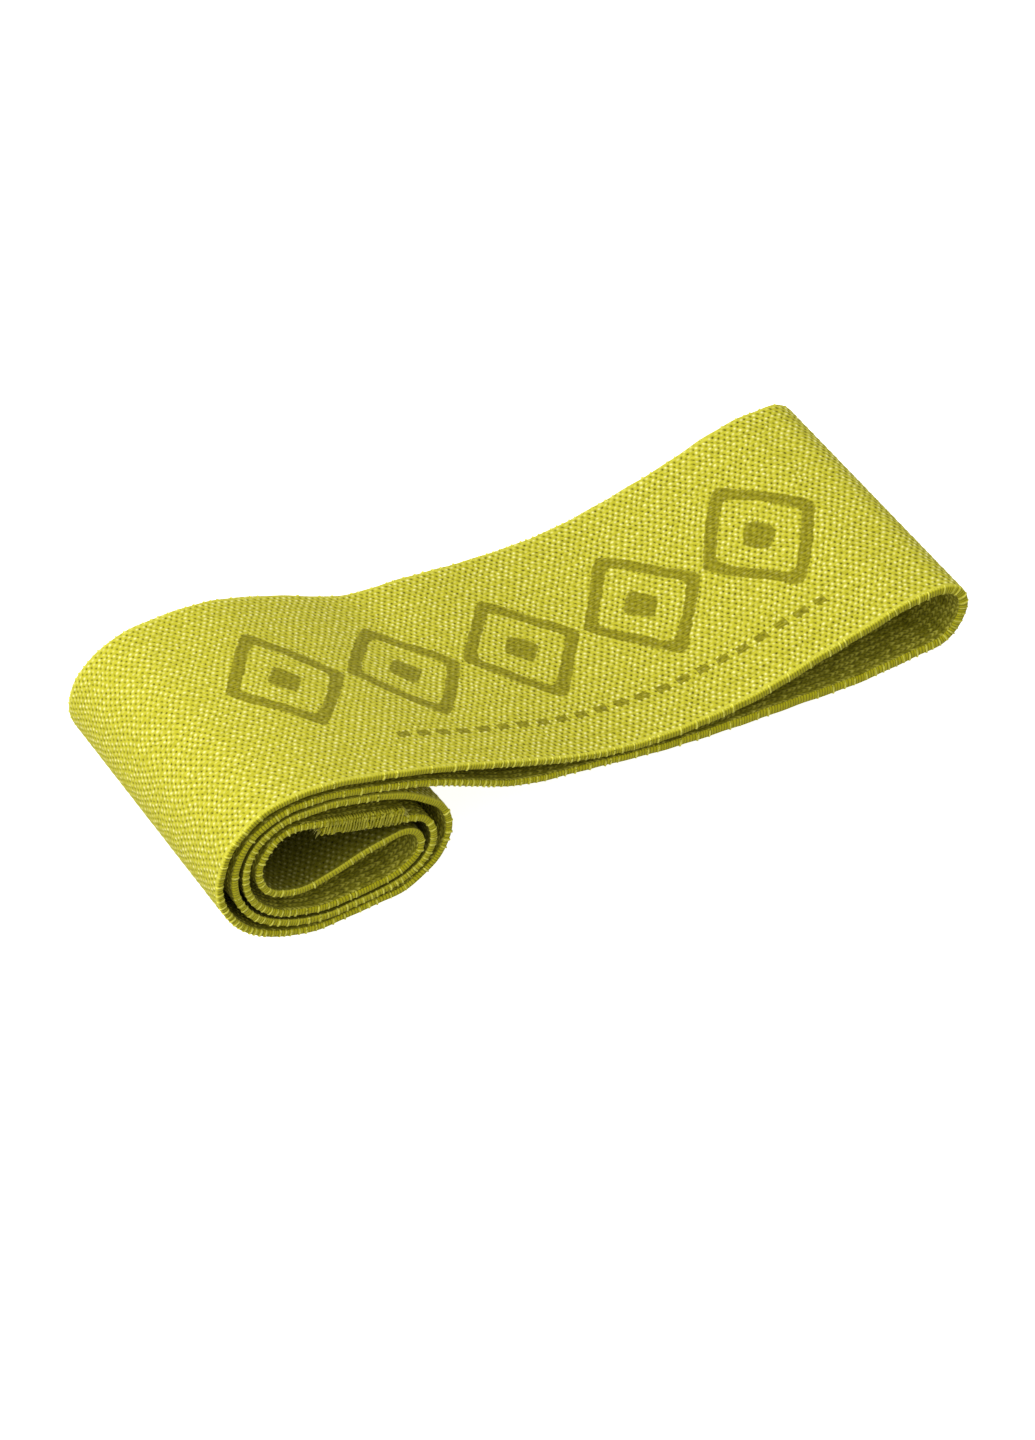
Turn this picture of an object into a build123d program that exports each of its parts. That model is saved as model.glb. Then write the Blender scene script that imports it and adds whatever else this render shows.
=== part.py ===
"""Resistance band: a closed loop of flat woven elastic, laid flat and rolled up from its sewn seam.

The band is one long strip whose two ends lie over each other and are sewn. Lying flat it is two
layers thick. It is rolled up from the seam, and the last part of the loop is left lying out as a
flap, whose far end is the fold where the lower layer turns back into the upper one.

Frame: origin under the middle of the band on the surface it lies on, +X from the roll towards the
end of the loop, +Y across the band's width, +Z up.
"""
import math
import os

from build123d import *

# Driving dimensions, mm
BAND_WIDTH = 50.0
CLOTH = 0.35  # thickness of the face cloth, and of the back cloth
CORE = 0.6  # space between the two cloths, where the rubber threads lie
SELVEDGE_WIDTH = 1.5  # solid woven edge that closes each side of the band
BAND_THICKNESS = 2 * CLOTH + CORE
FLOOR = BAND_THICKNESS / 2  # height of the centre line where the band lies on the surface

RUBBER_THREADS = 12
THREAD_PITCH = 3.8
THREAD_WIDTH = 2.0
THREAD_HEIGHT = 0.5

LAP_SLOPE = math.radians(-20.4)  # the sewn lap's slope inside the roll
LAP_LENGTH = 14.0  # length over which the two ends lie on each other
LAP_SPACING = BAND_THICKNESS + 0.04  # centre line to centre line, with a hair's gap
LAP_END = (-33.6, 16.0)  # where the upper end is cut off

ZIGZAG_ROWS = 3
ZIGZAG_ROW_SPACING = 4.0
ZIGZAG_STITCH = 2.0  # length of one stitch across the band
ZIGZAG_WIDTH = 2.4  # side-to-side throw of the needle
SEAM_THREAD = 0.3

JOINT_GAP = 0.3  # gap between bodies that move apart


def from_lap_end(back, down):
    """A point on the lap, so far back along it from the upper cut end and so far below it."""
    x = LAP_END[0] - back * math.cos(LAP_SLOPE) + down * math.sin(LAP_SLOPE)
    z = LAP_END[1] - back * math.sin(LAP_SLOPE) - down * math.cos(LAP_SLOPE)
    return (x, z)


# The band's centre line seen from its edge, as the corners (x, z, bend radius) of each stretch in
# order along the strip. A bend radius of 0 is an end. Neighbouring stretches meet on the straight
# run between the last corner of one and the first corner of the next.
SECOND_TURN = [
    (*from_lap_end(LAP_LENGTH, LAP_SPACING), 0),
    (*from_lap_end(-5.0, LAP_SPACING), 4.4),
    (-28.6, 5.6, 6),
    (-35.5, FLOOR + 1.6, 11),
    (-50.0, FLOOR + 1.6, 18),
    (-59.5, 7.5, 13),
    (-62.6, 16.0, 10.5),
    (-59.6, 23.8, 9),
    (-53.0, 26.6, 11),
    (-46.0, 26.0, 28),
    (-30.0, 20.2, 60),
]
LOWER_RUN = [
    (-14.0, 11.0, 40),
    (14.0, 4.4, 100),
    (44.0, FLOOR, 80),
]
LOOP_END = [
    (62.0, FLOOR, 5),
    (65.6, 8.2, 4.4),
    (61.5, 11.6, 5),
    (54.0, 11.8, 10),
]
UPPER_RUN = [
    (21.0, 5.9, 70),
    (0.0, 9.0, 60),
]
OUTER_TURN = [
    (-30.0, 22.6, 120),
    (-46.0, 28.2, 30),
    (-56.0, 28.6, 12),
    (-62.4, 23.4, 9),
    (-65.2, 15.6, 11),
    (-61.2, 5.9, 14),
    (-50.5, FLOOR, 18),
    (-34.0, FLOOR, 10),
    (-26.4, 5.4, 8.3),
    (-26.2, 13.2, 7),
    (-33.0, 19.4, 20),
]
INNER_TURN = [
    (-45.0, 24.0, 28),
    (-54.2, 24.8, 8),
    (-59.6, 20.4, 7.5),
    (-60.4, 13.4, 9.5),
    (-56.5, 7.4, 12),
    (-48.5, FLOOR + 3.4, 18),
]
CORE_TURN = [
    (-36.0, FLOOR + 3.4, 9),
    (-30.6, 6.8, 3.2),
    (-31.8, 12.2, 3.0),
    (-38.0, 12.0, 20),
    (-50.5, 9.2, 10),
    (-57.0, 11.8, 5.5),
    (-58.4, 17.4, 5.5),
    (*from_lap_end(21.0, 0), 5.5),
    (*LAP_END, 0),
]

# Straight-line distance from the last corner of one stretch to where the next stretch begins
CUT_TO_LOWER_RUN = 6.9
CUT_TO_LOOP_END = 6.0
CUT_TO_UPPER_RUN = 4.1
CUT_TO_OUTER_TURN = 26.9
CUT_TO_INNER_TURN = 6.0
CUT_TO_CORE_TURN = 7.0


def on_run(corner, following, distance):
    """The point on the straight run after a corner, at this distance from the corner."""
    run = math.dist(corner[:2], following[:2])
    share = distance / run
    x = corner[0] + share * (following[0] - corner[0])
    z = corner[1] + share * (following[1] - corner[1])
    return (x, z, 0)


def joined(before, corners, after, start, finish):
    """One stretch's corners with its two end points on the runs it shares with its neighbours."""
    whole = list(corners)
    if before:
        whole.insert(0, on_run(before[-1], corners[0], start))
    if after:
        whole.append(on_run(corners[-1], after[0], finish))
    return whole


def shifted(corners, offset):
    """The same stretch moved sideways by an offset, to the left of its direction if positive."""
    moved = []
    count = len(corners)
    for index, (x, z, radius) in enumerate(corners):
        before = corners[max(index - 1, 0)]
        after = corners[min(index + 1, count - 1)]
        heading_in = math.atan2(z - before[1], x - before[0])
        heading_out = math.atan2(after[1] - z, after[0] - x)
        if index == 0:
            heading_in = heading_out
        if index == count - 1:
            heading_out = heading_in
        turn = math.remainder(heading_out - heading_in, math.tau)
        middle = heading_in + turn / 2
        reach = offset / math.cos(turn / 2)
        new_radius = radius - offset * math.copysign(1, turn)
        moved.append((x - reach * math.sin(middle), z + reach * math.cos(middle), new_radius))
    return moved


def ply(corners, low, high, width):
    """One ply of a stretch, between two offsets from the centre line and so wide across the band."""
    right = shifted(corners, low)
    left = shifted(corners, high)
    with BuildPart() as strip:
        with BuildSketch(Plane.XZ):
            with BuildLine():
                for side in (right, left):
                    points = [(x, z) for x, z, radius in side]
                    FilletPolyline(*points, radius=[radius for x, z, radius in side[1:-1]])
                Line(right[0][:2], left[0][:2])
                Line(right[-1][:2], left[-1][:2])
            make_face()
        extrude(amount=width / 2, both=True)
    return strip.part


def save(piece, name):
    """Label one piece and write it as a STEP file."""
    piece.label = name
    export_step(piece, f"parts/{name}.step")


def side_by_side(row, middles):
    """Copies of one lengthwise row at these places across the band, as separate solids."""
    with BuildPart() as rows:
        with Locations(*[(0, middle, 0) for middle in middles]):
            add(row)
    return rows.part


def rubber_threads(corners):
    """The rubber threads of one stretch, evenly spaced in the space between the two cloths."""
    thread = ply(corners, -THREAD_HEIGHT / 2, THREAD_HEIGHT / 2, THREAD_WIDTH)
    first = -THREAD_PITCH * (RUBBER_THREADS - 1) / 2
    return side_by_side(thread, [first + THREAD_PITCH * number for number in range(RUBBER_THREADS)])


def selvedges(corners):
    """The two woven edges of one stretch, as thick as the whole band."""
    edge = ply(corners, -BAND_THICKNESS / 2, BAND_THICKNESS / 2, SELVEDGE_WIDTH)
    middle = (BAND_WIDTH - SELVEDGE_WIDTH) / 2
    return side_by_side(edge, [-middle, middle])


def band_stretch(name, corners):
    """The woven and rubber pieces of one stretch of the band."""
    surface = BAND_THICKNESS / 2
    cloth_width = BAND_WIDTH - 2 * SELVEDGE_WIDTH
    save(ply(corners, -surface, -CORE / 2, cloth_width), f"{name}_face_cloth")
    save(ply(corners, CORE / 2, surface, cloth_width), f"{name}_back_cloth")
    save(rubber_threads(corners), f"{name}_rubber_threads")
    save(selvedges(corners), f"{name}_selvedges")


def seam_thread(down, name):
    """Three zigzag rows of thread that lie on one side of the lap, running across the band."""
    middle = from_lap_end(LAP_LENGTH / 2, down)
    lap_plane = Plane(
        origin=(middle[0], 0, middle[1]),
        x_dir=(math.cos(LAP_SLOPE), 0, math.sin(LAP_SLOPE)),
        z_dir=(-math.sin(LAP_SLOPE), 0, math.cos(LAP_SLOPE)),
    )
    stitches = int(BAND_WIDTH / ZIGZAG_STITCH)
    start = -ZIGZAG_STITCH * (stitches - 1) / 2
    with BuildPart() as rows:
        with BuildSketch(lap_plane):
            for row in range(ZIGZAG_ROWS):
                row_middle = ZIGZAG_ROW_SPACING * (row - (ZIGZAG_ROWS - 1) / 2)
                with BuildLine() as stitch_line:
                    Polyline(
                        *[
                            (row_middle + ZIGZAG_WIDTH / 2 * (-1) ** number, start + ZIGZAG_STITCH * number)
                            for number in range(stitches)
                        ]
                    )
                trace(stitch_line.edges(), line_width=SEAM_THREAD)
        extrude(amount=SEAM_THREAD)
    save(rows.part, name)


def main():
    os.makedirs("parts", exist_ok=True)
    gap = JOINT_GAP / 2
    second_turn = joined(None, SECOND_TURN, LOWER_RUN, 0, CUT_TO_LOWER_RUN - gap)
    lower_run = joined(
        SECOND_TURN, LOWER_RUN, LOOP_END, CUT_TO_LOWER_RUN + gap, CUT_TO_LOOP_END - gap
    )
    loop_end = joined(
        LOWER_RUN, LOOP_END, UPPER_RUN, CUT_TO_LOOP_END + gap, CUT_TO_UPPER_RUN - gap
    )
    upper_run = joined(
        LOOP_END, UPPER_RUN, OUTER_TURN, CUT_TO_UPPER_RUN + gap, CUT_TO_OUTER_TURN - gap
    )
    outer_turn = joined(
        UPPER_RUN, OUTER_TURN, INNER_TURN, CUT_TO_OUTER_TURN + gap, CUT_TO_INNER_TURN
    )
    inner_turn = joined(OUTER_TURN, INNER_TURN, CORE_TURN, CUT_TO_INNER_TURN, CUT_TO_CORE_TURN)
    core_turn = joined(INNER_TURN, CORE_TURN, None, CUT_TO_CORE_TURN, 0)

    band_stretch("second_turn", second_turn)
    band_stretch("lower_run", lower_run)
    band_stretch("loop_end", loop_end)
    band_stretch("upper_run", upper_run)
    band_stretch("outer_turn", outer_turn)
    band_stretch("inner_turn", inner_turn)
    band_stretch("core_turn", core_turn)

    surface = BAND_THICKNESS / 2
    seam_thread(-surface, "seam_needle_thread")
    seam_thread(LAP_SPACING + surface + SEAM_THREAD, "seam_bobbin_thread")


main()
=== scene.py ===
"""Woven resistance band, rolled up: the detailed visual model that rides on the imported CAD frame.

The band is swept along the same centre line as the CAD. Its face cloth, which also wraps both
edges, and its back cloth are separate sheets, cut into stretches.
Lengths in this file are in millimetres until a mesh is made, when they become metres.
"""

import math

import bmesh
import bpy
import numpy as np
from mathutils import Matrix, Vector


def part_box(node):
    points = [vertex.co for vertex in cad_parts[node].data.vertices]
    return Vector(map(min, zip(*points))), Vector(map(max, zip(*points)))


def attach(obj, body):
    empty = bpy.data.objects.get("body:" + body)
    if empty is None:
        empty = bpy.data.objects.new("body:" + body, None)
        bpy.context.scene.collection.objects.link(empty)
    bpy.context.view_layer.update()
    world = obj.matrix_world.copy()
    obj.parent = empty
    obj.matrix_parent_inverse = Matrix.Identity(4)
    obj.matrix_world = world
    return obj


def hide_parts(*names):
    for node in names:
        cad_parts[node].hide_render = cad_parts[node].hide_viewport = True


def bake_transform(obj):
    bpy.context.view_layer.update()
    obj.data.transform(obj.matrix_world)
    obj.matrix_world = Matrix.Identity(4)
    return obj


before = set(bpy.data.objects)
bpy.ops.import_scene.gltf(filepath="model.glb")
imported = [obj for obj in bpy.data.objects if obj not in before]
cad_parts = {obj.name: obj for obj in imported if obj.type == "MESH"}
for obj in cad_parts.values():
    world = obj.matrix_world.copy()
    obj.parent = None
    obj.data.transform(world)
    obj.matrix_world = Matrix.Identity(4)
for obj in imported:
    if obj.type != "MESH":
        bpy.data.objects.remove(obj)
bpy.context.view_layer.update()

METRES = 0.001
rng = np.random.default_rng(7)

# ---- Driving values, mm ----
BAND_WIDTH = 2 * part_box("outer_turn_selvedges")[1][1] / METRES
BAND_THICKNESS = 1.3
FLOOR = BAND_THICKNESS / 2
LAP_SLOPE = math.radians(-20.4)
LAP_LENGTH = 14.0
LAP_SPACING = 1.34
LAP_END = (-33.6, 16.0)

STEP = 0.235  # along the band where the face is seen closely
COARSE_STEP = 0.42
SMOOTHING = 0.8  # how far the cloth's stiffness rounds off the route

# Weave of the face: staggered knots, each beside a small hole
KNOT_PITCH_ALONG = 1.16
KNOT_PITCH_ACROSS = 0.84
KNOT_HEIGHT = 0.09
HOLE_DEPTH = 0.13
GROOVE_PITCH = 3.8  # the face dips a little between the rubber threads
GROOVE_DEPTH = 0.03
GROOVE_WIDTH = 0.3
KNOT_SPREAD = (0.18, 0.25)  # along and across, as shares of the pitch
HOLE_SPREAD = (0.13, 0.25)
# Weave of the back: lengthwise rows of stitches over the rubber threads
ROW_PITCH = 1.0
STITCH_PITCH = 0.9
ROW_HEIGHT = 0.10
ROW_SPREAD = 0.3
STITCH_SLANT = 1.2

# Pattern woven into the face: a chain of outlined lozenges and a row of dashes
LOZENGE_START = 12.0
LOZENGE_END = 120.0
LOZENGE_PITCH = 21.6
LOZENGE_HALF_LENGTH = 9.6
LOZENGE_HALF_HEIGHT = 12.2
LOZENGE_MIDDLE = 2.0
LOZENGE_ROUNDING = 0.6  # how much the corners are softened
OUTLINE = 0.13  # half the outline's width, as a share of the lozenge
HEART = 0.36  # size of the filled middle, as a share of the lozenge
DASH_START = 22.0
DASH_END = 100.0
DASH_PITCH = 3.6
DASH_SHARE = 0.6  # dash length as a share of the pitch
DASH_MIDDLE = -15.6
DASH_HALF_HEIGHT = 0.75

TENSION_START = 66.0  # the distance from the fold at which the weave begins to close up
TENSION_END = 104.0

# How much tighter the far edge is rolled than the near one: from TIGHT_FROM leftwards, and in
# full from TIGHT_RAMP further left
TIGHTER = 0.179
TIGHT_FROM = 20.0
TIGHT_RAMP = 45.0
SHORTER = 0.043
SHORTER_FROM = -30.0
# Where the far edge also lies higher or lower: middle x, width and height of each bump
FAR_EDGE_BUMPS = [(-38.0, 7.0, 0.95), (-15.5, 8.5, -2.1), (16.0, 14.0, -0.4)]
FAR_FOLD_LIFT = 0.58
FAR_FOLD_FROM = 40.0
FAR_FOLD_RAMP = 10.0
LIFTED_FROM = 8.0  # the height above the surface from which the far edge is moved fully
# How much thicker the loose end's inner side is than where the band is rolled tight
FULLER = 0.85
FULLER_FROM = -5.0
FULLER_RAMP = 35.0


def from_lap_end(back, down):
    """A point on the lap, so far back along it from the upper cut end and so far below it."""
    x = LAP_END[0] - back * math.cos(LAP_SLOPE) + down * math.sin(LAP_SLOPE)
    z = LAP_END[1] - back * math.sin(LAP_SLOPE) - down * math.cos(LAP_SLOPE)
    return (x, z)


# The centre line's corners (x, z, bend radius), in order along the strip
ROUTE = [
    (*from_lap_end(LAP_LENGTH, LAP_SPACING), 0),
    (*from_lap_end(-5.0, LAP_SPACING), 4.4),
    (-28.6, 5.6, 6),
    (-35.5, FLOOR + 1.6, 11),
    (-50.0, FLOOR + 1.6, 18),
    (-59.5, 7.5, 13),
    (-62.6, 16.0, 10.5),
    (-59.6, 23.8, 9),
    (-53.0, 26.6, 11),
    (-46.0, 26.0, 28),
    (-30.0, 20.2, 60),
    (-14.0, 11.0, 40),
    (14.0, 4.4, 100),
    (44.0, FLOOR, 80),
    (62.0, FLOOR, 5),
    (65.6, 8.2, 4.4),
    (61.5, 11.6, 5),
    (54.0, 11.8, 10),
    (21.0, 5.9, 70),
    (0.0, 9.0, 60),
    (-30.0, 22.6, 120),
    (-46.0, 28.2, 30),
    (-56.0, 28.6, 12),
    (-62.4, 23.4, 9),
    (-65.2, 15.6, 11),
    (-61.2, 5.9, 14),
    (-50.5, FLOOR, 18),
    (-34.0, FLOOR, 10),
    (-26.4, 5.4, 8.3),
    (-26.2, 13.2, 7),
    (-33.0, 19.4, 20),
    (-45.0, 24.0, 28),
    (-54.2, 24.8, 8),
    (-59.6, 20.4, 7.5),
    (-60.4, 13.4, 9.5),
    (-56.5, 7.4, 12),
    (-48.5, FLOOR + 3.4, 18),
    (-36.0, FLOOR + 3.4, 9),
    (-30.6, 6.8, 3.2),
    (-31.8, 12.2, 3.0),
    (-38.0, 12.0, 20),
    (-50.5, 9.2, 10),
    (-57.0, 11.8, 5.5),
    (-58.4, 17.4, 5.5),
    (*from_lap_end(21.0, 0), 5.5),
    (*LAP_END, 0),
]


# ---- The centre line ----
def rounded(corners, steps=24):
    """The polyline through the corners with each one filleted to its bend radius."""
    line = [np.array(corners[0][:2])]
    for before, corner, after in zip(corners, corners[1:], corners[2:]):
        point = np.array(corner[:2])
        back = np.array(before[:2]) - point
        ahead = np.array(after[:2]) - point
        back /= np.linalg.norm(back)
        ahead /= np.linalg.norm(ahead)
        opening = math.acos(float(np.clip(back @ ahead, -1, 1)))
        radius = corner[2]
        trim = radius * math.tan((math.pi - opening) / 2)
        inward = (back + ahead) / np.linalg.norm(back + ahead)
        centre = point + inward * radius / math.sin(opening / 2)
        first = point + back * trim - centre
        last = point + ahead * trim - centre
        angle = math.atan2(first[1], first[0])
        sweep = math.remainder(math.atan2(last[1], last[0]) - angle, math.tau)
        for step in range(steps + 1):
            turned = angle + sweep * step / steps
            line.append(centre + radius * np.array([math.cos(turned), math.sin(turned)]))
    line.append(np.array(corners[-1][:2]))
    return np.array(line)


def evenly(line, spacing):
    """The polyline resampled at an even spacing."""
    gone = np.concatenate([[0], np.cumsum(np.linalg.norm(np.diff(line, axis=0), axis=1))])
    count = int(round(gone[-1] / spacing)) + 1
    at = np.linspace(0, gone[-1], count)
    return np.column_stack([np.interp(at, gone, line[:, axis]) for axis in (0, 1)])


def smoothed(line, spacing, width):
    """The polyline blurred along its length, with its ends kept straight."""
    reach = int(4 * width / spacing)
    kernel = np.exp(-0.5 * (np.arange(-reach, reach + 1) * spacing / width) ** 2)
    kernel /= kernel.sum()
    head = 2 * line[0] - line[reach:0:-1]
    tail = 2 * line[-1] - line[-2 : -reach - 2 : -1]
    long = np.vstack([head, line, tail])
    return np.column_stack([np.convolve(long[:, axis], kernel, mode="valid") for axis in (0, 1)])


FINE = 0.1
centre = evenly(smoothed(evenly(rounded(ROUTE), FINE), FINE, SMOOTHING), FINE)
travelled = np.concatenate([[0], np.cumsum(np.linalg.norm(np.diff(centre, axis=0), axis=1))])
LENGTH = travelled[-1]
heading = np.gradient(centre, travelled, axis=0)
heading /= np.linalg.norm(heading, axis=1)[:, None]
FOLD = travelled[int(np.argmax(centre[:, 0]))]


def bell(distance, width):
    """1 at no distance, falling smoothly to 0 beyond the width."""
    return np.exp(-((distance / width) ** 2))


def smooth_step(value):
    """0 below 0 and 1 above 1, with a smooth rise between them."""
    value = np.clip(value, 0, 1)
    return value * value * (3 - 2 * value)


def far_edge_lift(x):
    """How much higher the far edge lies than the near one, besides its tighter roll."""
    lift = FAR_FOLD_LIFT * smooth_step((x - FAR_FOLD_FROM) / FAR_FOLD_RAMP)
    for middle, width, height in FAR_EDGE_BUMPS:
        lift = lift + height * bell(x - middle, width)
    return lift


def rolled(points):
    """The far edge of the band is rolled a little tighter than the near one."""
    share = (points[..., 1] + BAND_WIDTH / 2) / BAND_WIDTH
    near_roll = smooth_step((TIGHT_FROM - points[..., 0]) / TIGHT_RAMP)
    x = points[..., 0] + SHORTER * share * np.maximum(SHORTER_FROM - points[..., 0], 0)
    above = points[..., 2] - FLOOR
    z = FLOOR + above * (1 - TIGHTER * share * near_roll)
    z = z + share * far_edge_lift(points[..., 0]) * np.clip(above / LIFTED_FROM, 0, 1)
    return np.stack([x, points[..., 1], z], axis=-1)


def on_band(along, across, out):
    """Points so far along the strip, across it, and out from its centre line to the face side."""
    along, across, out = np.broadcast_arrays(along, across, out)
    x = np.interp(along, travelled, centre[:, 0])
    z = np.interp(along, travelled, centre[:, 1])
    tx = np.interp(along, travelled, heading[:, 0])
    tz = np.interp(along, travelled, heading[:, 1])
    size = np.sqrt(tx * tx + tz * tz)
    thicker = 1 + FULLER * smooth_step((x - FULLER_FROM) / FULLER_RAMP)
    out = np.where(out < 0, out * thicker, out)
    beyond = np.where(along > LENGTH, along - LENGTH, np.minimum(along, 0))
    x = x + (out * tz + beyond * tx) / size
    z = z + (-out * tx + beyond * tz) / size
    return rolled(np.stack([x, across, z], axis=-1))


def where(x, first, last):
    """The distance along the strip at which it crosses this x, between two distances."""
    inside = (travelled >= first) & (travelled <= last)
    nearest = np.argmin(np.abs(centre[inside, 0] - x))
    return float(travelled[inside][nearest])


# Where the stretches join, each found by its x between two distances along the strip
ROLL_JOIN = 1.0  # x of the joins that lie wholly on the flap
LOWER_JOIN = where(ROLL_JOIN, 0, FOLD)
UPPER_JOIN = where(ROLL_JOIN, FOLD, FOLD + 100)
LEFT_BOTTOM = where(-50.0, UPPER_JOIN + 60, UPPER_JOIN + 120)
INNER_START = where(-39.0, LEFT_BOTTOM + 20, LEFT_BOTTOM + 60)
CORE_START = where(-43.0, INNER_START + 30, INNER_START + 70)
UNDER_FOLD = where(57.0, FOLD - 30, FOLD - 3)
EXIT = where(-24.0, LOWER_JOIN - 40, LOWER_JOIN)  # where the strip leaves the roll


# ---- Meshes ----
def mesh_object(name, points, quads, materials, faces_material=None, uv=None, through=None):
    """A smooth-shaded mesh object from arrays, in metres."""
    mesh = bpy.data.meshes.new(name)
    mesh.vertices.add(len(points))
    mesh.vertices.foreach_set("co", (points * METRES).astype(np.float32).ravel())
    mesh.loops.add(4 * len(quads))
    mesh.loops.foreach_set("vertex_index", quads.astype(np.int32).ravel())
    mesh.polygons.add(len(quads))
    mesh.polygons.foreach_set("loop_start", np.arange(0, 4 * len(quads), 4, dtype=np.int32))
    mesh.polygons.foreach_set("use_smooth", np.ones(len(quads), dtype=bool))
    for material in materials:
        mesh.materials.append(material)
    if faces_material is not None:
        mesh.polygons.foreach_set("material_index", faces_material.astype(np.int32))
    if uv is not None:
        layer = mesh.uv_layers.new(name="strip")
        layer.data.foreach_set("uv", uv[quads.ravel()].astype(np.float32).ravel())
    mesh.update(calc_edges=True)
    if through is not None:
        layer = mesh.attributes.new("through", "FLOAT", "POINT")
        layer.data.foreach_set("value", through.astype(np.float32).ravel())
    mesh.validate()
    made = bpy.data.objects.new(name, mesh)
    bpy.context.scene.collection.objects.link(made)
    return made


def grid_quads(rows, columns):
    """The quads of a grid of vertices, numbered row by row."""
    row, column = np.meshgrid(np.arange(rows - 1), np.arange(columns - 1), indexing="ij")
    corner = (row * columns + column).ravel()
    return np.column_stack([corner, corner + 1, corner + columns + 1, corner + columns])


def tubes(name, paths, material, sides=6):
    """Round threads along paths, each a list of points and their radii, as one closed object."""
    points, quads = [], []
    count = 0
    turn = np.linspace(0, math.tau, sides, endpoint=False)
    for path, radii in paths:
        path = np.asarray(path, float)
        radii = np.broadcast_to(radii, len(path)).astype(float)
        tangent = np.gradient(path, axis=0)
        tangent /= np.linalg.norm(tangent, axis=1)[:, None] + 1e-12
        side = np.cross(tangent, np.array([0.31, 0.52, 0.79]))
        side /= np.linalg.norm(side, axis=1)[:, None] + 1e-12
        other = np.cross(tangent, side)
        ring = side[:, None] * np.cos(turn)[:, None] + other[:, None] * np.sin(turn)[:, None]
        skin = path[:, None] + ring * radii[:, None, None]
        tips = np.stack([np.repeat(path[:1], sides, 0), np.repeat(path[-1:], sides, 0)])
        skin = np.concatenate([tips[:1], skin, tips[1:]])
        rows = len(skin)
        row, column = np.meshgrid(np.arange(rows - 1), np.arange(sides), indexing="ij")
        near = row * sides + column
        far = row * sides + (column + 1) % sides
        block = np.stack([near, far, far + sides, near + sides], axis=-1).reshape(-1, 4)
        points.append(skin.reshape(-1, 3))
        quads.append(block + count)
        count += rows * sides
    made = mesh_object(name, np.concatenate(points), np.concatenate(quads), [material])
    # The tips are rings of coincident points, which are joined into one
    tidy = bmesh.new()
    tidy.from_mesh(made.data)
    bmesh.ops.remove_doubles(tidy, verts=tidy.verts, dist=1e-7)
    tidy.to_mesh(made.data)
    tidy.free()
    return made


# ---- Weave ----
LATTICE_ROWS = 512
LATTICE_COLUMNS = 64
LATTICE = rng.uniform(-1, 1, (2, LATTICE_ROWS, LATTICE_COLUMNS))

# Waves, each with its size, its rates along and across in radians per mm, and its phase
YARN_WAVES_ALONG = [(0.14, 0.21, 0.53, 0.0), (0.06, -0.9, 1.7, 0.0)]
YARN_WAVES_ACROSS = [(0.10, 0.37, 0.0, 0.8), (0.04, 1.3, 0.6, 0.0)]
EDGE_WAVES = [(0.05, 0.9, 0.0, 0.0), (0.05, 0.31, 0.0, 1.0)]
CUT_END_WAVES = [(0.12, 3.1, 4.0, 0.0), (0.1, 7.7, -3.0, 0.0)]


def waves(table, first, second):
    """The sum of a table's waves over two coordinates."""
    return sum(size * np.sin(a * first + b * second + phase) for size, a, b, phase in table)


def drift(along, across, spacing, layer):
    """A smooth random field over the strip, from -1 to 1, with this spacing between its bumps."""
    a = along / spacing + 300
    b = across / spacing + 30
    row = np.floor(a).astype(int)
    column = np.floor(b).astype(int)
    u = smooth_step(a - row)
    v = smooth_step(b - column)
    field = LATTICE[layer]
    rows = (row % LATTICE_ROWS, (row + 1) % LATTICE_ROWS)
    columns = (column % LATTICE_COLUMNS, (column + 1) % LATTICE_COLUMNS)
    first = field[rows[0], columns[0]] * (1 - u) + field[rows[1], columns[0]] * u
    second = field[rows[0], columns[1]] * (1 - u) + field[rows[1], columns[1]] * u
    return first * (1 - v) + second * v


def wander(along, across):
    """The small waviness of the yarns, so that the weave isn't a perfect grid."""
    shift_along = waves(YARN_WAVES_ALONG, along, across) + 0.12 * drift(along, across, 0.9, 0)
    shift_across = waves(YARN_WAVES_ACROSS, along, across) + 0.06 * drift(along, across, 1.1, 1)
    return along + shift_along, across + shift_across


def pattern(along, across):
    """1 inside the pattern woven into the face, 0 outside it."""
    place = (along - LOZENGE_START) / LOZENGE_PITCH
    beside = (place - np.floor(place) - 0.5) * LOZENGE_PITCH
    above = across - LOZENGE_MIDDLE
    reach = np.sqrt(beside**2 + LOZENGE_ROUNDING) / LOZENGE_HALF_LENGTH
    reach = reach + np.sqrt(above**2 + LOZENGE_ROUNDING) / LOZENGE_HALF_HEIGHT
    inside = (along > LOZENGE_START) & (along < LOZENGE_END)
    outline = np.abs(reach - 1) < OUTLINE
    heart = reach < HEART
    dash = along / DASH_PITCH
    dashes = dash - np.floor(dash) < DASH_SHARE
    dashes &= np.abs(across - DASH_MIDDLE) < DASH_HALF_HEIGHT
    dashes &= (along > DASH_START) & (along < DASH_END)
    return (((outline | heart) & inside) | dashes).astype(float)


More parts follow.
